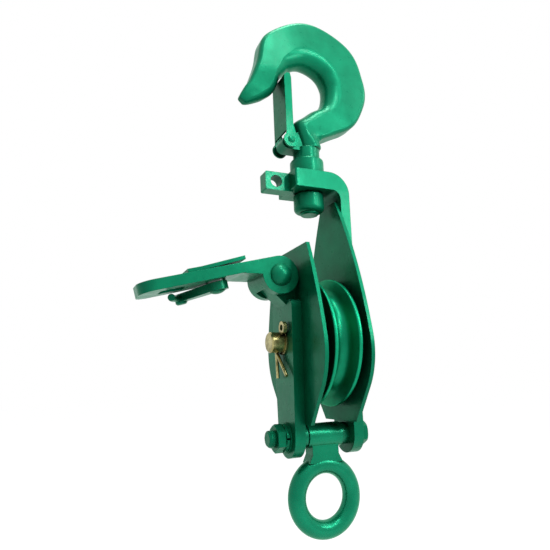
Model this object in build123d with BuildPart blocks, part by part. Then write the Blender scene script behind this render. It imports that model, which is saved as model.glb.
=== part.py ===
from build123d import *
import os
from math import atan2, cos, radians, sin, sqrt, tan

os.makedirs("parts", exist_ok=True)

# Sizes in mm. The origin is the seat in the hook's bowl, +Z is up and X runs along the sheave axle.
# Heights are measured from the axle, the middle of the sheave, and the helpers below place them.

# Sheave
sheave_radius = 50.0
rim_half_width = 11.5
groove_radius = 6.5
groove_depth = 11.5
groove_flank_angle = 20.0
flange_rounding = 1.1
rim_height = 8.0
recess_slope = 9.5
web_half_thickness = 5.5
hub_radius = 21.5
web_rounding = 2.0
bush_radius = 12.5
bore_chamfer = 0.8

# Running fits and gaps
shaft_clearance = 0.06
side_play = 0.3
hinge_play = 0.2

# Cheek plates
cheek_thickness = 3.0
cheek_inner = 17.5
cheek_margin = 0.5
cheek_circle_height = -6.0
cheek_shoulder_angle = 10.0
cheek_chin_angle = 35.0
cheek_bolt_gap = 9.5
cheek_head_gap = 0.8
cheek_top_half_width = 12.0
left_cheek_top = 73.0

# Straps
strap_thickness = 8.5
strap_foot_radius = 14.8
head_half_width = 17.8
head_bottom = 123.3
head_thickness = 15.2
head_left = 19.8
head_bend_radius = 18.0
head_inner_radius = 7.5
head_corner_radius = 1.5
lug_half_width = 5.66
lug_height = 15.5
lug_end = 41.0
lug_corner_radius = 1.2
lug_drop = 0.85
lug_hole_x = 31.5
lug_hole_radius = 5.0
body_top = 32.0
body_half_width = 18.2
body_corner_radius = 6.0

# Hinge of the opening strap
hinge_offset = 6.9
hinge_height = 49.8
knuckle_radius = 11.5
knuckle_half_width = 8.9
ear_outer = 17.0
hinge_pin_radius = 5.5
hinge_head_radius = 8.6
hinge_head_height = 5.9

# Opening strap, measured along the strap from the hinge
open_angle = 103.5
opening_thickness = 7.8
opening_end_wall = 15.6
opening_end_half_width = 17.6
opening_end_radius = 12.0
fork_depth = 12.6
slot_height_play = 3.3
slot_side_play = 1.09
slot_drop = 0.35
slot_corner_radius = 2.5
guard_thickness = 2.8
guard_half_width = 16.5
guard_top = 69.5
guard_bend = 59.0
guard_tip = 24.6
guard_tip_depth = 16.8

# Lock lever on the opening strap
lock_pivot = 46.0
lock_radius = 8.4
lock_thickness = 6.2
lock_washer_thickness = 1.0
lock_washer_radius = 7.6
lock_rivet_radius = 3.6
lock_head_radius = 6.4
lock_head_height = 2.2
finger_radius = 2.7
finger_start_angle = 12.0
finger_end_angle = 50.0
finger_overrun = 2.6
knob_radius = 4.6
knob_height = 1.8
knob_chamfer = 1.1

# Axle
axle_radius = 8.0
axle_tip = 41.0
axle_head_radius = 12.0
axle_head_thickness = 5.5
axle_washer_radius = 9.6
axle_washer_thickness = 1.5
axle_chamfer = 1.0
pin_x = 32.3
pin_wire_radius = 1.45
pin_hole_radius = 1.55
pin_tilt = 38.0
pin_eye_radius = 3.6
pin_eye_distance = 13.4

# Becket bolt and its nut, M12
bolt_drop = 20.5
bolt_radius = 6.0
bolt_tip = 45.0
bolt_chamfer = 1.2
hex_across_flats = 18.0
bolt_head_thickness = 7.5
nut_thickness = 6.3
spring_washer_thickness = 2.5
spring_washer_radius = 10.2
spring_washer_gap = 1.4
plain_washer_thickness = 1.8
plain_washer_radius = 11.0
spacer_radius = 8.25

# Becket eye
barrel_radius = 9.1
barrel_half_length = 14.2
neck_half_width = 11.0
neck_half_thickness = 6.0
neck_drop = 17.5
ring_radius = 23.0
ring_wire_radius = 6.74
ring_drop = 44.2

# Swivel
shank_radius = 8.0
neck_radius = 11.3
collar_radius = 14.3
collar_height = 14.5
collar_rounding = 2.0
swivel_nut_radius = 12.7
swivel_nut_height = 16.1
swivel_play = 0.1
nut_chamfer = 1.5
nut_rounding = 4.0
nut_pin_radius = 1.8
nut_pin_rise = 8.4
shank_stub = 2.1

# Hook forging: the loft starts at a round neck and ends in the tip
neck_length = 9.9
neck_bend_rise = 8.0
bowl_height = 78.0
boss_x = -19.4
boss_rise = 2.4
boss_radius = 5.5
boss_half_width = 6.6
latch_pin_radius = 2.0
latch_head_radius = 3.1
latch_head_height = 1.3

# Safety latch
latch_sheet = 1.5
latch_half_width = 12.4
latch_back_reach = 4.0
latch_front_reach = 2.5
latch_seat_gap = 14.5
latch_ear_radius = 6.5
latch_window_rise = 8.1
spring_wire_radius = 0.6
spring_coil_radius = 3.4
spring_leg_length = 18.6

# Sizes that follow from those above
groove_bottom_radius = sheave_radius - groove_depth
recess_outer_radius = sheave_radius - rim_height
recess_inner_radius = recess_outer_radius - recess_slope
cheek_circle_radius = sheave_radius + cheek_margin
bolt_height = -sheave_radius - bolt_drop
cheek_bottom = bolt_height + cheek_bolt_gap
cheek_top = head_bottom - head_inner_radius - cheek_head_gap
neck_foot = bolt_height - neck_drop
ring_height = bolt_height - ring_drop
head_top = head_bottom + head_thickness
collar_bottom = head_top + swivel_play
collar_top = collar_bottom + collar_height
neck_start = collar_top + neck_length
seat_height = neck_start + bowl_height
axle_z = -seat_height
boss_height = neck_start + boss_rise
latch_back_x = boss_x - latch_back_reach
latch_front_x = boss_x + latch_front_reach
latch_top = seat_height - latch_seat_gap
swivel_nut_top = head_bottom - swivel_play
swivel_nut_bottom = swivel_nut_top - swivel_nut_height
nut_pin_height = swivel_nut_bottom + nut_pin_rise
shank_end = swivel_nut_bottom - shank_stub
strap_inner = cheek_inner + cheek_thickness
strap_outer = strap_inner + strap_thickness
hub_half_length = cheek_inner - side_play
hinge_x = -(strap_outer + hinge_offset)
hinge = Vector(hinge_x, 0, axle_z + hinge_height)
along = Vector(-sin(radians(open_angle)), 0, cos(radians(open_angle)))
outward = Vector(-cos(radians(open_angle)), 0, -sin(radians(open_angle)))
opening_face = -hinge_offset
opening_back = opening_face - opening_thickness
ear_radius = -opening_back
lug_height_z = (head_bottom + head_top) / 2 - lug_drop
slot_centre = lug_height_z - hinge_height - slot_drop
slot_height = lug_height + slot_height_play
slot_width = 2 * (lug_half_width + slot_side_play)
opening_length = slot_centre + slot_height / 2 + opening_end_wall
finger_path_radius = lug_height_z - hinge_height - lock_pivot
lever_bottom = opening_face + lock_washer_thickness + 0.1
finger_w = lever_bottom + finger_radius + 0.3


def level(z):
    return Plane((0, 0, axle_z + z), x_dir=(1, 0, 0), z_dir=(0, 0, 1))


def across(x):
    return Plane((x, 0, axle_z), x_dir=(0, 1, 0), z_dir=(1, 0, 0))


def front(y=0):
    return Plane((0, y, axle_z), x_dir=(1, 0, 0), z_dir=(0, -1, 0))


def strap_face(w):
    return Plane(hinge + outward * w, x_dir=along, z_dir=outward)


def strap_side():
    return Plane(hinge, x_dir=along, z_dir=(0, -1, 0))


def dome_bend(head):
    """Middle point of the outline of a dome with this (radius, height), measured from its base."""
    sphere = (head[0] ** 2 + head[1] ** 2) / (2 * head[1])
    half_angle = atan2(head[0], sphere - head[1]) / 2
    return sphere * sin(half_angle), sphere * (cos(half_angle) - 1) + head[1]


def rivet_section(radius, low, high, low_head, high_head):
    """Half section of a round pin along +Y, with a dome (radius, height) or None at each end."""
    with BuildSketch() as section:
        with BuildLine():
            bottom = (0, low)
            top = (0, high)
            if low_head:
                bottom = (0, low - low_head[1])
                bend = dome_bend(low_head)
                ThreePointArc(bottom, (bend[0], low - bend[1]), (low_head[0], low))
                Line((low_head[0], low), (radius, low))
            else:
                Line(bottom, (radius, low))
            Line((radius, low), (radius, high))
            if high_head:
                top = (0, high + high_head[1])
                bend = dome_bend(high_head)
                Line((radius, high), (high_head[0], high))
                ThreePointArc((high_head[0], high), (bend[0], high + bend[1]), top)
            else:
                Line((radius, high), top)
            Line(top, bottom)
        make_face()
    return section.sketch


def cheek_outline(top):
    start = radians(cheek_shoulder_angle)
    shoulder = (
        cheek_circle_radius * cos(start),
        cheek_circle_height + cheek_circle_radius * sin(start),
    )
    chin = radians(-cheek_chin_angle)
    chin_point = (
        cheek_circle_radius * cos(chin),
        cheek_circle_height + cheek_circle_radius * sin(chin),
    )
    chin_drop = chin_point[1] - cheek_bottom
    foot = (chin_point[0] - chin_drop * tan(radians(cheek_chin_angle)), cheek_bottom)
    with BuildSketch() as outline:
        with BuildLine() as half:
            Line((0, cheek_top), (cheek_top_half_width, cheek_top))
            TangentArc(shoulder, (cheek_top_half_width, cheek_top), tangent=(-sin(start), cos(start)))
            CenterArc(
                (0, cheek_circle_height),
                cheek_circle_radius,
                -cheek_chin_angle,
                cheek_chin_angle + cheek_shoulder_angle,
            )
            Polyline(chin_point, foot, (0, cheek_bottom))
            mirror(about=Plane.YZ)
        make_face()
        if top < cheek_top:
            with Locations((0, top)):
                Rectangle(
                    2 * cheek_circle_radius,
                    cheek_top - top + 1,
                    align=(Align.CENTER, Align.MIN),
                    mode=Mode.SUBTRACT,
                )
    return outline.sketch


def hook_section(inner_x, inner_z, outer_x, outer_z, half, nose, shoulder, corner):
    """Closed section between an inner and an outer point of the hook's outline, seen from the front."""
    start = Vector(inner_x, 0, axle_z + neck_start + inner_z)
    depth = Vector(outer_x - inner_x, 0, outer_z - inner_z)
    size = depth.length
    plane = Plane(start, x_dir=depth, z_dir=depth.cross(Vector(0, 1, 0)))
    slope = (half - shoulder) / (size - nose)
    side = shoulder + slope * corner
    soft = corner * 0.29
    edges = [
        ThreePointArc((nose, -half), (0, 0), (nose, half)),
        Line((nose, half), (size - corner, side)),
        ThreePointArc((size - corner, side), (size - soft, shoulder - soft), (size, shoulder - corner)),
        Line((size, shoulder - corner), (size, corner - shoulder)),
        ThreePointArc((size, corner - shoulder), (size - soft, soft - shoulder), (size - corner, -side)),
        Line((size - corner, -side), (nose, -half)),
    ]
    return plane * Face(Wire(edges))


def halfway(stations):
    """Add a station between each two, on a smooth curve through them all."""
    ends = [stations[0]] + stations + [stations[-1]]
    refined = []
    for before, first, second, after in zip(ends, ends[1:], ends[2:], ends[3:]):
        middle = [(9 * (b + c) - a - d) / 16 for a, b, c, d in zip(before, first, second, after)]
        refined += [first, middle]
    return refined + [stations[-1]]


def round_section(centre, radius, direction):
    """The same six-edge section, but round, for the neck of the hook."""
    middle = Vector(centre[0], 0, axle_z + centre[1])
    depth = Vector(direction[0], 0, direction[1])
    plane = Plane(middle, x_dir=depth, z_dir=depth.cross(Vector(0, 1, 0)))
    angles = [255, 180, 105, 70, 35, 22, 10, 0, -10, -22, -35, -70, -105]
    points = [(radius * cos(radians(a)), radius * sin(radians(a))) for a in angles]
    arcs = [ThreePointArc(*points[i : i + 3]) for i in range(0, 12, 2)]
    return plane * Face(Wire(arcs))


# Hook: a loft through sections that follow the bowl, then shank, latch boss and holes.
# Each station: inner point x and z, outer point x and z, half thickness at the sides, depth of the
# rounded inner nose, half thickness at the outer shoulder, rounding of the outer corners. Their
# heights are measured from the start of the neck.
hook_stations = [
    (-11.5, 23.0, 14.5, 11.0, 11.4, 9.0, 10.0, 3.5),
    (3.0, 34.5, 30.0, 18.5, 12.0, 9.5, 9.4, 3.5),
    (14.0, 42.0, 45.0, 27.3, 12.6, 10.5, 9.6, 3.5),
    (18.4, 52.0, 56.0, 44.5, 12.8, 13.0, 9.8, 3.5),
    (18.6, 64.0, 60.2, 67.5, 12.8, 13.5, 9.8, 3.5),
    (12.6, 73.6, 46.0, 103.6, 12.8, 14.5, 9.8, 3.5),
    (0.0, bowl_height, 4.5, 120.2, 12.8, 15.5, 9.6, 3.5),
    (-12.0, 73.8, -35.0, 101.3, 12.2, 10.5, 9.0, 3.5),
    (-22.4, 63.5, -46.0, 70.0, 11.0, 6.8, 8.2, 3.2),
    (-28.8, 50.0, -51.5, 55.0, 9.0, 5.6, 6.6, 2.8),
    (-38.5, 41.3, -55.5, 48.5, 7.4, 4.6, 5.6, 2.4),
    (-47.5, 36.4, -58.4, 43.0, 5.8, 3.6, 4.4, 2.0),
    (-52.6, 34.3, -60.0, 39.6, 4.3, 2.6, 3.3, 1.5),
]
tip_end = (-55.8, 34.2, -59.3, 36.7, 2.0, 1.2, 1.6, 0.8)
with BuildPart() as hook:
    add(round_section((0, neck_start), neck_radius, (1, 0)))
    add(round_section((0.6, neck_start + neck_bend_rise), neck_radius + 0.4, (1, -0.15)))
    for station in halfway(hook_stations):
        add(hook_section(*station))
    add(hook_section(*tip_end))
    loft()
    with BuildSketch(level(neck_start)):
        Circle(neck_radius)
    extrude(amount=collar_top - neck_start)
    with BuildSketch(level(collar_top)):
        Circle(shank_radius)
    extrude(amount=shank_end - collar_top)
    chamfer(hook.edges().group_by(Axis.Z)[0], 1.2)
    with BuildSketch(front()):
        with Locations((boss_x, boss_height)):
            Circle(boss_radius)
        with BuildLine():
            Polyline(
                (boss_x, boss_height - boss_radius),
                (-5.0, boss_height - boss_radius),
                (-3.0, boss_height + 14.0),
                (boss_x - 2.0, boss_height + 5.1),
                close=True,
            )
        make_face()
    extrude(amount=boss_half_width, both=True)
    with BuildSketch(front()):
        with Locations((boss_x, boss_height)):
            Circle(latch_pin_radius + shaft_clearance)
    extrude(amount=20, both=True, mode=Mode.SUBTRACT)
    with BuildSketch(across(0)):
        with Locations((0, nut_pin_height)):
            Circle(nut_pin_radius)
    extrude(amount=20, both=True, mode=Mode.SUBTRACT)
hook.part.label = "hook"
export_step(hook.part, "parts/hook.step")

# Collar that carries the hook on the head
with BuildPart() as swivel_collar:
    with BuildSketch(level(collar_bottom)):
        Circle(collar_radius)
        Circle(shank_radius, mode=Mode.SUBTRACT)
    extrude(amount=collar_height)
    fillet(swivel_collar.edges().group_by(Axis.Z)[-1].sort_by(SortBy.LENGTH)[-1], collar_rounding)
swivel_collar.part.label = "swivel_collar"
export_step(swivel_collar.part, "parts/swivel_collar.step")

# Round nut under the head, held by a cross pin that is ground flush
with BuildPart() as swivel_nut:
    with BuildSketch(level(swivel_nut_bottom)):
        Circle(swivel_nut_radius)
    extrude(amount=swivel_nut_height)
    chamfer(swivel_nut.edges().group_by(Axis.Z)[-1], nut_chamfer)
    fillet(swivel_nut.edges().group_by(Axis.Z)[0], nut_rounding)
    with BuildSketch(level(swivel_nut_bottom)):
        Circle(shank_radius)
    extrude(amount=30, mode=Mode.SUBTRACT)
    with BuildSketch(across(0)):
        with Locations((0, nut_pin_height)):
            Circle(nut_pin_radius)
    extrude(amount=20, both=True, mode=Mode.SUBTRACT)
swivel_nut.part.label = "swivel_nut"
export_step(swivel_nut.part, "parts/swivel_nut.step")

with BuildPart() as nut_pin:
    with BuildSketch(across(0)):
        with Locations((0, nut_pin_height)):
            Circle(nut_pin_radius)
    extrude(amount=swivel_nut_radius, both=True)
    chamfer(nut_pin.edges(), 0.4)
nut_pin.part.label = "nut_pin"
export_step(nut_pin.part, "parts/nut_pin.step")

# Safety latch: folded channel with ears on the boss
latch_cut = 4 * latch_ear_radius
with BuildPart() as safety_latch:
    with BuildSketch(front()):
        with BuildLine():
            Polyline(
                (latch_back_x, boss_height),
                (latch_back_x, latch_top - 2.5),
                (latch_back_x + 2.5, latch_top),
                (latch_front_x - 1.0, latch_top),
                (latch_front_x, latch_top - 4.0),
                (latch_front_x, boss_height + 14),
                (boss_x + latch_ear_radius * 0.8, boss_height + latch_ear_radius * 0.6),
                (boss_x, boss_height),
                close=True,
            )
        make_face()
        with Locations((boss_x, boss_height)):
            Circle(latch_ear_radius)
    extrude(amount=latch_half_width, both=True)
    with BuildSketch(front()):
        with Locations((latch_back_x + latch_sheet, boss_height - latch_cut)):
            Rectangle(latch_cut, latch_top - boss_height + 2 * latch_cut, align=(Align.MIN, Align.MIN))
        with Locations((boss_x - latch_cut / 2, boss_height - latch_cut)):
            Rectangle(latch_cut, latch_cut + latch_window_rise, align=(Align.MIN, Align.MIN))
    extrude(amount=latch_half_width - latch_sheet, both=True, mode=Mode.SUBTRACT)
    with BuildSketch(front()):
        with Locations((boss_x, boss_height)):
            Circle(latch_pin_radius + shaft_clearance)
    extrude(amount=20, both=True, mode=Mode.SUBTRACT)
safety_latch.part.label = "safety_latch"
export_step(safety_latch.part, "parts/safety_latch.step")

latch_grip = latch_half_width + 0.1
with BuildPart() as latch_pin:
    with BuildSketch(Plane((boss_x, 0, axle_z + boss_height), x_dir=(1, 0, 0), z_dir=(0, 0, 1))):
        add(
            rivet_section(
                latch_pin_radius,
                -latch_grip,
                latch_grip,
                (latch_head_radius, latch_head_height),
                (latch_head_radius, latch_head_height),
            )
        )
    revolve(axis=Axis((boss_x, 0, axle_z + boss_height), (0, 1, 0)))
latch_pin.part.label = "latch_pin"
export_step(latch_pin.part, "parts/latch_pin.step")

# Torsion spring beside the boss: a coil round the pin and one leg up the back of the channel
coil_y = (boss_half_width + latch_half_width - latch_sheet) / 2
coil_pitch = 2 * spring_wire_radius + 0.15
coil_height = 2 * coil_pitch
with BuildPart() as latch_spring:
    with BuildLine() as coil:
        Helix(
            pitch=coil_pitch,
            height=coil_height,
            radius=spring_coil_radius,
            center=(boss_x, -coil_y - coil_height / 2, axle_z + boss_height),
            direction=(0, 1, 0),
        )
    with BuildSketch(Plane(coil.line @ 0, z_dir=coil.line % 0)):
        Circle(spring_wire_radius)
    sweep(path=coil.line, is_frenet=True)
    with BuildSketch(Plane(coil.line @ 0, z_dir=(0, 0, 1))):
        Circle(spring_wire_radius)
    extrude(amount=spring_leg_length)
latch_spring.part.label = "latch_spring"
export_step(latch_spring.part, "parts/latch_spring.step")

# Fixed strap, bent over at the top into the head that carries the swivel, with the lug for the lock
with BuildPart() as fixed_strap:
    with BuildSketch(front()):
        with BuildLine():
            Line((-head_left, head_bottom), (strap_inner - head_inner_radius, head_bottom))
            RadiusArc(
                (strap_inner - head_inner_radius, head_bottom),
                (strap_inner, head_bottom - head_inner_radius),
                head_inner_radius,
            )
            Polyline(
                (strap_inner, head_bottom - head_inner_radius),
                (strap_inner, bolt_height - strap_foot_radius),
                (strap_outer, bolt_height - strap_foot_radius),
                (strap_outer, head_top - head_bend_radius),
            )
            RadiusArc(
                (strap_outer, head_top - head_bend_radius),
                (strap_outer - head_bend_radius, head_top),
                -head_bend_radius,
            )
            Polyline(
                (strap_outer - head_bend_radius, head_top),
                (-head_left, head_top),
                (-head_left, head_bottom),
            )
        make_face()
    extrude(amount=head_half_width, both=True)
    fillet(fixed_strap.edges().filter_by(Axis.Z).group_by(Axis.X)[0], head_corner_radius)
    with BuildSketch(across(0)):
        with BuildLine():
            Polyline(
                (-strap_foot_radius, bolt_height),
                (strap_foot_radius, bolt_height),
                (head_half_width, head_bottom),
                (head_half_width, head_top),
                (-head_half_width, head_top),
                (-head_half_width, head_bottom),
                close=True,
            )
        make_face()
        with Locations((0, bolt_height)):
            Circle(strap_foot_radius)
    extrude(amount=60, both=True, mode=Mode.INTERSECT)
    with BuildSketch(front()) as lug_sketch:
        with Locations((-lug_end, lug_height_z)):
            Rectangle(lug_end - head_left + 3, lug_height, align=(Align.MIN, Align.CENTER))
        fillet(lug_sketch.vertices().group_by(Axis.X)[0], lug_corner_radius)
    extrude(amount=lug_half_width, both=True)
    with BuildSketch(front()):
        with Locations((-lug_hole_x, lug_height_z)):
            Circle(lug_hole_radius)
    extrude(amount=20, both=True, mode=Mode.SUBTRACT)
    with BuildSketch(level(head_bottom - 10)):
        Circle(shank_radius + shaft_clearance)
    extrude(amount=40, mode=Mode.SUBTRACT)
    with BuildSketch(across(strap_inner - 10)):
        Circle(axle_radius)
        with Locations((0, bolt_height)):
            Circle(bolt_radius)
    extrude(amount=strap_thickness + 20, mode=Mode.SUBTRACT)
fixed_strap.part.label = "fixed_strap"
export_step(fixed_strap.part, "parts/fixed_strap.step")

with BuildPart() as right_cheek:
    with BuildSketch(across(cheek_inner)):
        add(cheek_outline(cheek_top))
        Circle(axle_radius, mode=Mode.SUBTRACT)
    extrude(amount=cheek_thickness)
right_cheek.part.label = "right_cheek"
export_step(right_cheek.part, "parts/right_cheek.step")

with BuildPart() as left_cheek:
    with BuildSketch(across(-strap_inner)):
        add(cheek_outline(left_cheek_top))
        Circle(axle_radius, mode=Mode.SUBTRACT)
    extrude(amount=cheek_thickness)
left_cheek.part.label = "left_cheek"
export_step(left_cheek.part, "parts/left_cheek.step")

# Lower half of the opening side: strap foot, full-width body and the hinge knuckle
with BuildPart() as lower_strap:
    with BuildSketch(across(-strap_outer)):
        with BuildLine():
            Polyline(
                (-strap_foot_radius, bolt_height),
                (strap_foot_radius, bolt_height),
                (body_half_width, body_top - body_corner_radius),
            )
            RadiusArc(
                (body_half_width, body_top - body_corner_radius),
                (body_half_width - body_corner_radius, body_top),
                -body_corner_radius,
            )
            Line(
                (body_half_width - body_corner_radius, body_top),
                (body_corner_radius - body_half_width, body_top),
            )
            RadiusArc(
                (body_corner_radius - body_half_width, body_top),
                (-body_half_width, body_top - body_corner_radius),
                -body_corner_radius,
            )
            Line((-body_half_width, body_top - body_corner_radius), (-strap_foot_radius, bolt_height))
        make_face()
        with Locations((0, bolt_height)):
            Circle(strap_foot_radius)
    extrude(amount=strap_thickness)
    with BuildSketch(front()):
        with Locations((hinge_x, hinge_height)):
            Circle(knuckle_radius)
        with BuildLine():
            Polyline(
                (-strap_outer, body_top - 4),
                (-strap_inner, body_top - 4),
                (-strap_inner, hinge_height),
                (hinge_x + knuckle_radius * 0.5, hinge_height + knuckle_radius * 0.866),
                (hinge_x, hinge_height),
                (hinge_x - knuckle_radius * 0.72, hinge_height - knuckle_radius * 0.69),
                close=True,
            )
        make_face()
    extrude(amount=knuckle_half_width, both=True)
    with BuildSketch(front()):
        with Locations((hinge_x, hinge_height)):
            Circle(hinge_pin_radius)
    extrude(amount=30, both=True, mode=Mode.SUBTRACT)
    with BuildSketch(across(-strap_outer - 10)):
        Circle(axle_radius)
        with Locations((0, bolt_height)):
            Circle(bolt_radius)
    extrude(amount=strap_thickness + 20, mode=Mode.SUBTRACT)
lower_strap.part.label = "lower_strap"
export_step(lower_strap.part, "parts/lower_strap.step")

hinge_grip = ear_outer + hinge_play
hinge_head = (hinge_head_radius, hinge_head_height)
with BuildPart() as hinge_pin:
    with BuildSketch(Plane(hinge, x_dir=(1, 0, 0), z_dir=(0, 0, 1))):
        add(rivet_section(hinge_pin_radius, -hinge_grip, hinge_grip, hinge_head, hinge_head))
    revolve(axis=Axis(hinge, (0, 1, 0)))
hinge_pin.part.label = "hinge_pin"
export_step(hinge_pin.part, "parts/hinge_pin.step")

# Opening strap, modelled where the photo shows it, swung open
with BuildPart() as opening_strap:
    with BuildSketch(strap_face(opening_back)):
        with BuildLine():
            Polyline(
                (0, ear_outer),
                (ear_radius, ear_outer),
                (opening_length - opening_end_radius, opening_end_half_width),
            )
            RadiusArc(
                (opening_length - opening_end_radius, opening_end_half_width),
                (opening_length, opening_end_half_width - opening_end_radius),
                opening_end_radius,
            )
            Line((opening_length, opening_end_half_width - opening_end_radius), (opening_length, 0))
            mirror(about=Plane.XZ)
            Line((0, ear_outer), (0, -ear_outer))
        make_face()
    extrude(amount=opening_thickness)
    with BuildSketch(strap_side()):
        Circle(ear_radius)
        with BuildLine():
            Polyline(
                (0, opening_back),
                (2 * ear_radius, opening_back),
                (2 * ear_radius, opening_face),
                (0, 0),
                close=True,
            )
        make_face()
    extrude(amount=ear_outer, both=True)
    with BuildSketch(strap_side()):
        with Locations((-2 * ear_radius, 0)):
            Rectangle(2 * ear_radius + fork_depth, 4 * ear_radius, align=(Align.MIN, Align.CENTER))
    extrude(amount=knuckle_half_width + hinge_play, both=True, mode=Mode.SUBTRACT)
    with BuildSketch(strap_side()):
        Circle(hinge_pin_radius + shaft_clearance)
    extrude(amount=40, both=True, mode=Mode.SUBTRACT)
    with BuildSketch(strap_face(opening_back - 5)):
        with Locations((slot_centre, 0)):
            RectangleRounded(slot_height, slot_width, slot_corner_radius)
        with Locations((lock_pivot, 0)):
            Circle(lock_rivet_radius)
    extrude(amount=opening_thickness + 30, mode=Mode.SUBTRACT)
opening_strap.part.label = "opening_strap"
export_step(opening_strap.part, "parts/opening_strap.step")

# Guard plate that carries the line of the left cheek up to the head when the strap is closed
with BuildPart() as guard_plate:
    with BuildSketch(strap_side()):
        with BuildLine():
            Polyline(
                (guard_top, opening_back),
                (guard_bend, opening_back),
                (guard_tip, -guard_tip_depth),
                (guard_tip, -guard_tip_depth - guard_thickness),
                (guard_bend, opening_back - guard_thickness),
                (guard_top, opening_back - guard_thickness),
                close=True,
            )
        make_face()
    extrude(amount=guard_half_width, both=True)
guard_plate.part.label = "guard_plate"
export_step(guard_plate.part, "parts/guard_plate.step")

# Lock lever: round end on the rivet, arm, thumb knob and the curved finger that enters the lug
finger_start = radians(finger_start_angle)
finger_end = radians(finger_end_angle)
knob_point = (
    lock_pivot + finger_path_radius * cos(finger_end),
    finger_path_radius * sin(finger_end),
)
knob_side = (knob_radius * sin(finger_end), knob_radius * cos(finger_end))
lock_point = hinge + along * lock_pivot
finger_way = along * cos(finger_start) + Vector(0, sin(finger_start), 0)
finger_root = Plane(lock_point + outward * finger_w, x_dir=finger_way, z_dir=finger_way.cross(outward))
finger_sweep = finger_end_angle + finger_overrun - finger_start_angle
with BuildPart() as lock_lever:
    with BuildSketch(strap_face(lever_bottom)):
        with Locations((lock_pivot, 0)):
            Circle(lock_radius)
        with Locations(knob_point):
            Circle(knob_radius)
        with BuildLine():
            Polyline(
                (lock_pivot - lock_radius * sin(finger_end), lock_radius * cos(finger_end)),
                (knob_point[0] - knob_side[0], knob_point[1] + knob_side[1]),
                (knob_point[0] + knob_side[0], knob_point[1] - knob_side[1]),
                (lock_pivot + lock_radius * sin(finger_end), -lock_radius * cos(finger_end)),
                close=True,
            )
        make_face()
    extrude(amount=lock_thickness)
    with BuildSketch(finger_root):
        with Locations((finger_path_radius, 0)):
            Circle(finger_radius)
    revolve(axis=Axis(lock_point, outward), revolution_arc=finger_sweep)
    with BuildSketch(strap_face(lever_bottom - 5)):
        with Locations((lock_pivot, 0)):
            Circle(lock_rivet_radius + shaft_clearance)
    extrude(amount=30, mode=Mode.SUBTRACT)
    with BuildSketch(strap_face(lever_bottom + lock_thickness)):
        with Locations(knob_point):
            Circle(knob_radius)
    extrude(amount=knob_height)
    chamfer(lock_lever.edges().group_by(Axis(hinge, outward))[-1], knob_chamfer)
lock_lever.part.label = "lock_lever"
export_step(lock_lever.part, "parts/lock_lever.step")

lever_top = lever_bottom + lock_thickness + 0.1
with BuildPart() as lock_rivet:
    with BuildSketch(Plane(lock_point, x_dir=along, z_dir=(0, -1, 0))):
        add(
            rivet_section(
                lock_rivet_radius,
                opening_back,
                lever_top,
                None,
                (lock_head_radius, lock_head_height),
            )
        )
    revolve(axis=Axis(lock_point, outward))
lock_rivet.part.label = "lock_rivet"
export_step(lock_rivet.part, "parts/lock_rivet.step")

with BuildPart() as lock_washer:
    with BuildSketch(strap_face(opening_face)):
        with Locations((lock_pivot, 0)):
            Circle(lock_washer_radius)
            Circle(lock_rivet_radius, mode=Mode.SUBTRACT)
    extrude(amount=lock_washer_thickness)
lock_washer.part.label = "lock_washer"
export_step(lock_washer.part, "parts/lock_washer.step")

# Sheave, turned about the axle, and its bush
flank = radians(groove_flank_angle)
groove_centre = groove_bottom_radius + groove_radius
flank_start = (groove_radius * cos(flank), groove_centre - groove_radius * sin(flank))
flank_end = (flank_start[0] + (sheave_radius - flank_start[1]) * tan(flank), sheave_radius)
groove_bend = radians((90 - groove_flank_angle) / 2 + groove_flank_angle)
with BuildPart() as sheave:
    with BuildSketch(front()):
        with BuildLine():
            Polyline(
                (0, bush_radius),
                (hub_half_length - bore_chamfer, bush_radius),
                (hub_half_length, bush_radius + bore_chamfer),
                (hub_half_length, hub_radius),
            )
            FilletPolyline(
                (hub_half_length, hub_radius),
                (web_half_thickness, hub_radius),
                (web_half_thickness, recess_inner_radius),
                (rim_half_width, recess_outer_radius),
                radius=web_rounding,
            )
            FilletPolyline(
                (rim_half_width, recess_outer_radius),
                (rim_half_width, sheave_radius),
                flank_end,
                flank_start,
                radius=flange_rounding,
            )
            ThreePointArc(
                flank_start,
                (groove_radius * cos(groove_bend), groove_centre - groove_radius * sin(groove_bend)),
                (0, groove_bottom_radius),
            )
            mirror(about=Plane.YZ)
        make_face()
    revolve(axis=Axis((0, 0, axle_z), (1, 0, 0)))
sheave.part.label = "sheave"
export_step(sheave.part, "parts/sheave.step")

with BuildPart() as sheave_bush:
    with BuildSketch(across(0)):
        Circle(bush_radius)
        Circle(axle_radius + shaft_clearance, mode=Mode.SUBTRACT)
    extrude(amount=hub_half_length, both=True)
sheave_bush.part.label = "sheave_bush"
export_step(sheave_bush.part, "parts/sheave_bush.step")

# Axle with a turned head on the fixed side, cross hole for the split pin
pin_lean = radians(pin_tilt)
pin_up = Vector(0, -sin(pin_lean), cos(pin_lean))
pin_middle = Vector(-pin_x, 0, axle_z)
with BuildPart() as axle:
    with BuildSketch(across(-axle_tip)):
        Circle(axle_radius)
    extrude(amount=axle_tip + strap_outer)
    chamfer(axle.edges().group_by(Axis.X)[0], axle_chamfer)
    with BuildSketch(across(strap_outer)):
        Circle(axle_head_radius)
    extrude(amount=axle_head_thickness)
    chamfer(axle.edges().group_by(Axis.X)[-1], axle_chamfer)
    with BuildSketch(Plane(pin_middle, z_dir=pin_up)):
        Circle(pin_hole_radius)
    extrude(amount=20, both=True, mode=Mode.SUBTRACT)
axle.part.label = "axle"
export_step(axle.part, "parts/axle.step")

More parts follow.
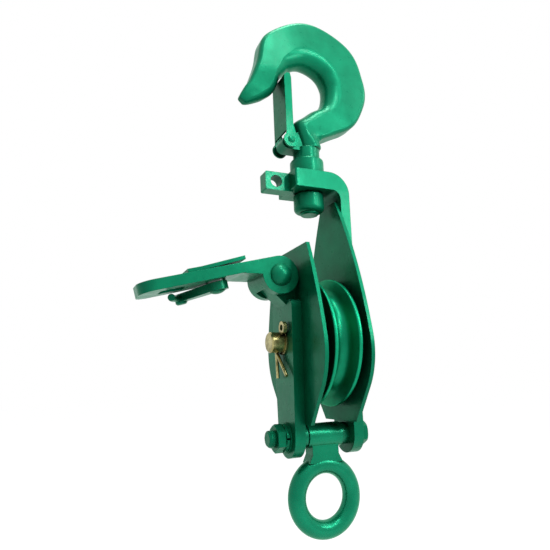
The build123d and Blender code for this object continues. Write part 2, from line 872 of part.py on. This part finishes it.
with BuildPart() as axle_washer:
    with BuildSketch(across(-strap_outer - axle_washer_thickness)):
        Circle(axle_washer_radius)
        Circle(axle_radius, mode=Mode.SUBTRACT)
    extrude(amount=axle_washer_thickness)
axle_washer.part.label = "axle_washer"
export_step(axle_washer.part, "parts/axle_washer.step")

# Split pin: round eye, stem through the axle and two legs bent apart below it
eye_centre = pin_middle + pin_up * pin_eye_distance
stem_top = pin_middle + pin_up * (pin_eye_distance - pin_eye_radius)
stem_end = pin_middle - pin_up * (axle_radius + 1.0)
leg_radius = pin_wire_radius * 0.9
with BuildPart() as split_pin:
    with BuildSketch(Plane(stem_top, z_dir=pin_up)):
        Circle(pin_wire_radius)
    extrude(amount=-(stem_top - stem_end).length)
    with BuildSketch(Plane(eye_centre, x_dir=pin_up, z_dir=(1, 0, 0))):
        with Locations((0, 0)):
            Circle(pin_eye_radius + pin_wire_radius * 0.8)
            Circle(pin_eye_radius - pin_wire_radius * 0.8, mode=Mode.SUBTRACT)
    extrude(amount=pin_wire_radius, both=True)
    for leg_end in [(4.5, -27.0), (-11.5, -25.5)]:
        foot = Vector(-pin_x, leg_end[0], axle_z + leg_end[1])
        with BuildSketch(Plane(stem_end, z_dir=foot - stem_end)):
            Circle(leg_radius)
        extrude(amount=(foot - stem_end).length)
    with Locations(stem_end):
        Sphere(pin_wire_radius)
split_pin.part.label = "split_pin"
export_step(split_pin.part, "parts/split_pin.step")

# Becket bolt M12 with a hexagon head on the fixed side
corner_radius = hex_across_flats / sqrt(3)
nut_face = strap_outer + plain_washer_thickness + spring_washer_thickness
with BuildPart() as becket_bolt:
    with BuildSketch(across(strap_outer)):
        with Locations((0, bolt_height)):
            RegularPolygon(corner_radius, 6, rotation=30)
    extrude(amount=bolt_head_thickness)
    with BuildSketch(across(strap_outer)):
        with Locations((0, bolt_height)):
            Circle(corner_radius + bolt_head_thickness * 1.73 - 1.2)
    extrude(amount=bolt_head_thickness, taper=60, mode=Mode.INTERSECT)
    with BuildSketch(across(strap_outer)):
        with Locations((0, bolt_height)):
            Circle(bolt_radius)
    extrude(amount=-strap_outer - bolt_tip)
    chamfer(becket_bolt.edges().group_by(Axis.X)[0], bolt_chamfer)
becket_bolt.part.label = "becket_bolt"
export_step(becket_bolt.part, "parts/becket_bolt.step")

with BuildPart() as becket_nut:
    with BuildSketch(across(-nut_face)):
        with Locations((0, bolt_height)):
            RegularPolygon(corner_radius, 6, rotation=30)
    extrude(amount=-nut_thickness)
    with BuildSketch(across(-nut_face)):
        with Locations((0, bolt_height)):
            Circle(corner_radius + nut_thickness * 1.73 - 1.2)
    extrude(amount=-nut_thickness, taper=60, mode=Mode.INTERSECT)
    with BuildSketch(across(-nut_face + 5)):
        with Locations((0, bolt_height)):
            Circle(bolt_radius)
    extrude(amount=-nut_thickness - 10, mode=Mode.SUBTRACT)
becket_nut.part.label = "becket_nut"
export_step(becket_nut.part, "parts/becket_nut.step")

with BuildPart() as becket_spring_washer:
    with BuildSketch(across(-nut_face)):
        with Locations((0, bolt_height)):
            Circle(spring_washer_radius)
            Circle(bolt_radius, mode=Mode.SUBTRACT)
        with Locations((-spring_washer_radius, bolt_height)):
            Rectangle(spring_washer_radius * 2, spring_washer_gap, mode=Mode.SUBTRACT, rotation=20)
    extrude(amount=spring_washer_thickness)
becket_spring_washer.part.label = "becket_spring_washer"
export_step(becket_spring_washer.part, "parts/becket_spring_washer.step")

with BuildPart() as becket_washer:
    with BuildSketch(across(-strap_outer - plain_washer_thickness)):
        with Locations((0, bolt_height)):
            Circle(plain_washer_radius)
            Circle(bolt_radius, mode=Mode.SUBTRACT)
    extrude(amount=plain_washer_thickness)
becket_washer.part.label = "becket_washer"
export_step(becket_washer.part, "parts/becket_washer.step")

spacer_start = barrel_half_length + side_play
with BuildPart() as becket_spacer_right:
    with BuildSketch(across(spacer_start)):
        with Locations((0, bolt_height)):
            Circle(spacer_radius)
            Circle(bolt_radius, mode=Mode.SUBTRACT)
    extrude(amount=strap_inner - spacer_start)
becket_spacer_right.part.label = "becket_spacer_right"
export_step(becket_spacer_right.part, "parts/becket_spacer_right.step")

with BuildPart() as becket_spacer_left:
    with BuildSketch(across(-strap_inner)):
        with Locations((0, bolt_height)):
            Circle(spacer_radius)
            Circle(bolt_radius, mode=Mode.SUBTRACT)
    extrude(amount=strap_inner - spacer_start)
becket_spacer_left.part.label = "becket_spacer_left"
export_step(becket_spacer_left.part, "parts/becket_spacer_left.step")

# Becket eye: barrel on the bolt, short neck and a round ring below
with BuildPart() as becket_eye:
    with BuildSketch(across(0)):
        with Locations((0, bolt_height)):
            Circle(barrel_radius)
    extrude(amount=barrel_half_length, both=True)
    with BuildSketch(front()):
        with BuildLine():
            Polyline(
                (-neck_half_width, bolt_height),
                (neck_half_width, bolt_height),
                (neck_half_width, neck_foot + 4),
                (neck_half_width + 3, neck_foot - 2),
                (-neck_half_width - 3, neck_foot - 2),
                (-neck_half_width, neck_foot + 4),
                close=True,
            )
        make_face()
    extrude(amount=neck_half_thickness, both=True)
    with BuildSketch(level(ring_height)):
        with Locations((ring_radius, 0)):
            Circle(ring_wire_radius)
    revolve(axis=Axis((0, 0, axle_z + ring_height), (0, 1, 0)))
    with BuildSketch(across(0)):
        with Locations((0, bolt_height)):
            Circle(bolt_radius + shaft_clearance)
    extrude(amount=30, both=True, mode=Mode.SUBTRACT)
becket_eye.part.label = "becket_eye"
export_step(becket_eye.part, "parts/becket_eye.step")
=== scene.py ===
import bpy
import math
from mathutils import Matrix, Vector


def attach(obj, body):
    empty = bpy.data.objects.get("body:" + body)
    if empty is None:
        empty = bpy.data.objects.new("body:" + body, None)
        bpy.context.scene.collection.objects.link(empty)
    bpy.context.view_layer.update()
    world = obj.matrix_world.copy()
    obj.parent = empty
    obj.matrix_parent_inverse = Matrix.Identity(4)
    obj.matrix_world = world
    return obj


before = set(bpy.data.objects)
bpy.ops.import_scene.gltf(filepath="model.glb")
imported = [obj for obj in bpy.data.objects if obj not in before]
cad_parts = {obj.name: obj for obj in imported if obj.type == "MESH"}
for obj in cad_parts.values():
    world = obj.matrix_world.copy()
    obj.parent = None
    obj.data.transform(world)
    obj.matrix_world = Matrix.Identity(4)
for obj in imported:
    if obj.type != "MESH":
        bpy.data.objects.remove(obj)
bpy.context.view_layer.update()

# All lengths are in metres. The origin is the seat in the hook's bowl.
MM = 0.001

# Thread on the tip of the becket bolt, M12 with a coarse pitch
BOLT_Z = -0.3115
THREAD_START_X = -0.0439
THREAD_END_X = -0.0399
THREAD_ROOT = 5.93 * MM
THREAD_CREST = 6.4 * MM
THREAD_PITCH = 1.75 * MM
STEPS_PER_TURN = 48
FLANK_SHARE = 0.42
CREST_SHARE = 0.08

# Studio
FLOOR_Z = -0.47
FLOOR_SIZE = 12
FLOOR_WHITE = 0.985
NECK = (0.0, 0.0, -0.1)
MIDDLE = (0.0, 0.0, -0.18)
SHEAVE = (0.0, 0.0, -0.24)

# Camera, as fitted to the photo
PHOTO_PIXELS = 550
FOCAL_PIXELS = 505.778
SENSOR_MM = 36.0
CAMERA_PLACE = (-0.1913, -0.3577, -0.2685)
CAMERA_RIGHT = (0.9174, -0.3961, -0.0382)
CAMERA_UP = (-0.0456, -0.2000, 0.9787)

WHITE = (1, 1, 1, 1)
DEEP_GREEN = (0.003, 0.26, 0.125, 1)
FULL_GREEN = (0.006, 0.35, 0.170, 1)
# Painted shade: the colour the enamel is darkened to in corners and crevices
PAINTED_SHADE_GREEN = (0.001, 0.08, 0.038, 1)
GREEN_GLOSS = (0.15, 1.0, 0.65, 1)


class Graph:
    """Short hand for the nodes of a material or a world."""

    def __init__(self, owner, output):
        owner.use_nodes = True
        self.nodes = owner.node_tree.nodes
        self.links = owner.node_tree.links
        self.nodes.clear()
        self.surface = self.add(output).inputs["Surface"]

    def add(self, kind, inputs=None, **settings):
        node = self.nodes.new(kind)
        for key, value in settings.items():
            setattr(node, key, value)
        for key, value in (inputs or {}).items():
            if isinstance(value, bpy.types.NodeSocket):
                self.links.new(value, node.inputs[key])
            else:
                node.inputs[key].default_value = value
        return node

    def noise(self, scale, detail, roughness):
        place = self.add("ShaderNodeTexCoord").outputs["Object"]
        inputs = {"Vector": place, "Scale": scale, "Detail": detail, "Roughness": roughness}
        return self.add("ShaderNodeTexNoise", inputs).outputs["Fac"]

    def span(self, value, low, high, to_low=0.0, to_high=1.0):
        inputs = {"Value": value, "From Min": low, "From Max": high, "To Min": to_low, "To Max": to_high}
        return self.add("ShaderNodeMapRange", inputs).outputs["Result"]

    def mix(self, factor, first, second):
        return self.add("ShaderNodeMix", {0: factor, 6: first, 7: second}, data_type="RGBA").outputs[2]

    def maths(self, operation, first, second):
        return self.add("ShaderNodeMath", {0: first, 1: second}, operation=operation).outputs[0]

    def bump(self, height, distance, normal):
        inputs = {"Height": height, "Distance": distance, "Strength": 1.0, "Normal": normal}
        return self.add("ShaderNodeBump", inputs).outputs["Normal"]

    def corner_shade_mask(self, distance):
        """Falls from 1 towards 0 where other faces stand within the distance; it masks painted shade in
        corners and crevices.
        """
        return self.add("ShaderNodeAmbientOcclusion", {"Distance": distance}, samples=8).outputs["AO"]

    def soft_edge(self, radius):
        return self.add("ShaderNodeBevel", {"Radius": radius}, samples=4).outputs["Normal"]

    def white_ray(self):
        """1 for a ray that sees the studio as white: from the camera, in a reflection or through glass."""
        path = self.add("ShaderNodeLightPath").outputs
        seen = self.maths("MAXIMUM", path["Is Camera Ray"], path["Is Glossy Ray"])
        return self.maths("MAXIMUM", seen, path["Is Transmission Ray"])

    def finish(self, shader):
        self.links.new(shader.outputs[0], self.surface)


def enamel(name, grain, bevel=0.0006, metal=0.2, shine=0.12, rough=(0.26, 0.4)):
    """Thick green enamel over steel. grain is the height of the forged or cast surface under it."""
    material = bpy.data.materials.new(name)
    g = Graph(material, "ShaderNodeOutputMaterial")
    body = g.mix(g.span(g.noise(45, 4, 0.6), 0.35, 0.7), DEEP_GREEN, FULL_GREEN)
    normal = g.bump(g.noise(110, 2, 0.5), grain * 2, g.soft_edge(bevel))
    normal = g.bump(g.noise(620, 2, 0.55), grain, normal)
    normal = g.bump(g.noise(1300, 1, 0.5), 0.02 * MM, normal)
    inputs = {
        # Painted shade: the enamel turns deep green where other faces stand near, in corners and crevices
        "Base Color": g.mix(g.span(g.corner_shade_mask(0.03), 0.25, 0.9), PAINTED_SHADE_GREEN, body),
        "Roughness": g.span(g.noise(160, 3, 0.6), 0.3, 0.75, *rough),
        "Normal": normal,
        "Metallic": metal,
        "Specular IOR Level": shine,
        "Specular Tint": GREEN_GLOSS,
        "Coat Weight": 0.06,
        "Coat Roughness": 0.1,
    }
    g.finish(g.add("ShaderNodeBsdfPrincipled", inputs))
    return material


def plated(name, bright, dull, rough):
    """Plated or bare metal with a fine turned grain, and painted shade darkening it in its corners."""
    material = bpy.data.materials.new(name)
    g = Graph(material, "ShaderNodeOutputMaterial")
    body = g.mix(g.span(g.noise(150, 3, 0.6), 0.35, 0.65), dull, bright)
    # Painted shade: a darker copy of the dull colour, laid into corners where other faces stand near
    painted_shade_colour = tuple(0.3 * value for value in dull[:3]) + (1,)
    inputs = {
        "Base Color": g.mix(g.span(g.corner_shade_mask(0.005), 0.25, 0.95), painted_shade_colour, body),
        "Roughness": g.span(g.noise(500, 2, 0.5), 0.3, 0.7, rough - 0.04, rough + 0.06),
        "Normal": g.bump(g.noise(1500, 2, 0.5), 0.005 * MM, g.soft_edge(0.0003)),
        "Metallic": 0.85,
    }
    g.finish(g.add("ShaderNodeBsdfPrincipled", inputs))
    return material


def place_in_scene(name, data):
    obj = bpy.data.objects.new(name, data)
    bpy.context.scene.collection.objects.link(obj)
    return obj


def screw_thread(name):
    """A closed helical ridge round the bolt, which sinks into its tip at both ends."""
    turns = (THREAD_END_X - THREAD_START_X) / THREAD_PITCH
    count = int(turns * STEPS_PER_TURN)
    points, faces = [], []
    for i in range(count + 1):
        part = i / count
        angle = 2 * math.pi * turns * part
        fade = min(1.0, part * turns * 2, (1 - part) * turns * 2)
        top = THREAD_ROOT + (THREAD_CREST - THREAD_ROOT) * fade
        centre = THREAD_START_X + THREAD_PITCH * turns * part
        profile = (
            (-FLANK_SHARE, THREAD_ROOT),
            (-CREST_SHARE, top),
            (CREST_SHARE, top),
            (FLANK_SHARE, THREAD_ROOT),
        )
        for shift, radius in profile:
            points.append((
                centre + shift * THREAD_PITCH,
                radius * math.cos(angle),
                BOLT_Z + radius * math.sin(angle),
            ))
    for i in range(count):
        for k in range(4):
            a = 4 * i + k
            b = 4 * i + (k + 1) % 4
            faces.append((a, a + 4, b + 4, b))
    faces += [(0, 1, 2, 3), (4 * count + 3, 4 * count + 2, 4 * count + 1, 4 * count)]
    mesh = bpy.data.meshes.new(name)
    mesh.from_pydata(points, [], faces)
    mesh.update()
    return place_in_scene(name, mesh)


# Finishes: what isn't named here is cut plate or a turned piece under smooth enamel
plate = enamel("enamel_plate", 0.01 * MM, bevel=0.0005)
forged = enamel("enamel_forged", 0.04 * MM, shine=0.25)
cast = enamel("enamel_cast", 0.1 * MM, metal=0.35, shine=0.5, rough=(0.2, 0.32))
turned = enamel("enamel_turned", 0.03 * MM, metal=0.85, shine=0.7, rough=(0.34, 0.46))
zinc = plated("yellow_zinc", (0.55, 0.50, 0.22, 1), (0.19, 0.17, 0.06, 1), 0.22)
steel = plated("bare_steel", (0.6, 0.61, 0.6, 1), (0.42, 0.43, 0.42, 1), 0.3)
bronze = plated("bearing_bronze", (0.72, 0.5, 0.24, 1), (0.52, 0.33, 0.14, 1), 0.3)
finish_of = {
    "hook": forged,
    "swivel_collar": forged,
    "fixed_strap": forged,
    "opening_strap": forged,
    "lower_strap": forged,
    "lock_lever": forged,
    "hinge_pin": forged,
    "becket_eye": cast,
    "becket_spacer_right": cast,
    "becket_spacer_left": cast,
    "sheave": turned,
    "sheave_bush": bronze,
    "axle": zinc,
    "axle_washer": zinc,
    "split_pin": zinc,
    "latch_spring": steel,
    "lock_washer": steel,
}
for node_name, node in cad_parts.items():
    node.data.materials.clear()
    node.data.materials.append(finish_of.get(node_name, plate))

thread = screw_thread("becket_bolt_thread")
thread.data.materials.append(plate)
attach(thread, "frame")

# Floor: white to the camera, in reflections and through glass, but it still takes the object's shadow
floor_material = bpy.data.materials.new("pale_floor")
g = Graph(floor_material, "ShaderNodeOutputMaterial")
strength = g.maths("MULTIPLY", g.white_ray(), FLOOR_WHITE)
glow = g.add("ShaderNodeEmission", {"Color": WHITE, "Strength": strength}).outputs[0]
matt = g.add("ShaderNodeBsdfDiffuse", {"Color": (0.6, 0.6, 0.6, 1)}).outputs[0]
g.finish(g.add("ShaderNodeAddShader", {0: glow, 1: matt}))
bpy.ops.mesh.primitive_plane_add(size=FLOOR_SIZE, location=(0, 0, FLOOR_Z))
floor = bpy.context.object
floor.name = "floor"
floor.data.materials.append(floor_material)

# World: the same white, and a dim fill for all other rays
world = bpy.data.worlds.new("studio")
bpy.context.scene.world = world
g = Graph(world, "ShaderNodeOutputWorld")
dim = g.add("ShaderNodeBackground", {"Color": (0.95, 0.98, 1.0, 1), "Strength": 0.025}).outputs[0]
white = g.add("ShaderNodeBackground", {"Color": WHITE, "Strength": 1.0}).outputs[0]
g.finish(g.add("ShaderNodeMixShader", {0: g.white_ray(), 1: dim, 2: white}))

# Soft lamps: name, place, what it points at, width and height, watts
lamps = [
    ("key", (0.0, -0.34, 0.3), NECK, (0.16, 0.16), 0.8),
    ("front", (0.16, -0.43, 0.09), NECK, (0.05, 0.2), 0.7),
    ("groove", (0.3, -0.38, -0.06), SHEAVE, (0.12, 0.2), 0.7),
    ("rim", (0.45, -0.25, 0.2), (0.0, 0.0, -0.12), (0.12, 0.12), 0.3),
    ("top", (0.05, -0.1, 0.5), MIDDLE, (0.2, 0.2), 1.5),
]
for lamp_name, place, aim, size, watts in lamps:
    light = bpy.data.lights.new(lamp_name, "AREA")
    light.shape = "RECTANGLE"
    light.size, light.size_y = size
    light.energy = watts
    lamp = place_in_scene(lamp_name, light)
    lamp.location = place
    lamp.rotation_mode = "QUATERNION"
    lamp.rotation_quaternion = (Vector(aim) - Vector(place)).to_track_quat("-Z", "Y")

camera = bpy.data.cameras.new("photo_view")
camera.sensor_width = SENSOR_MM
camera.lens = FOCAL_PIXELS / PHOTO_PIXELS * SENSOR_MM
camera.clip_start = 0.01
eye = place_in_scene("photo_view", camera)
right, up = Vector(CAMERA_RIGHT), Vector(CAMERA_UP)
turn = Matrix((right, up, right.cross(up))).transposed().to_4x4()
eye.matrix_world = Matrix.Translation(CAMERA_PLACE) @ turn
bpy.context.scene.camera = eye
bpy.context.scene.view_settings.view_transform = "Standard"
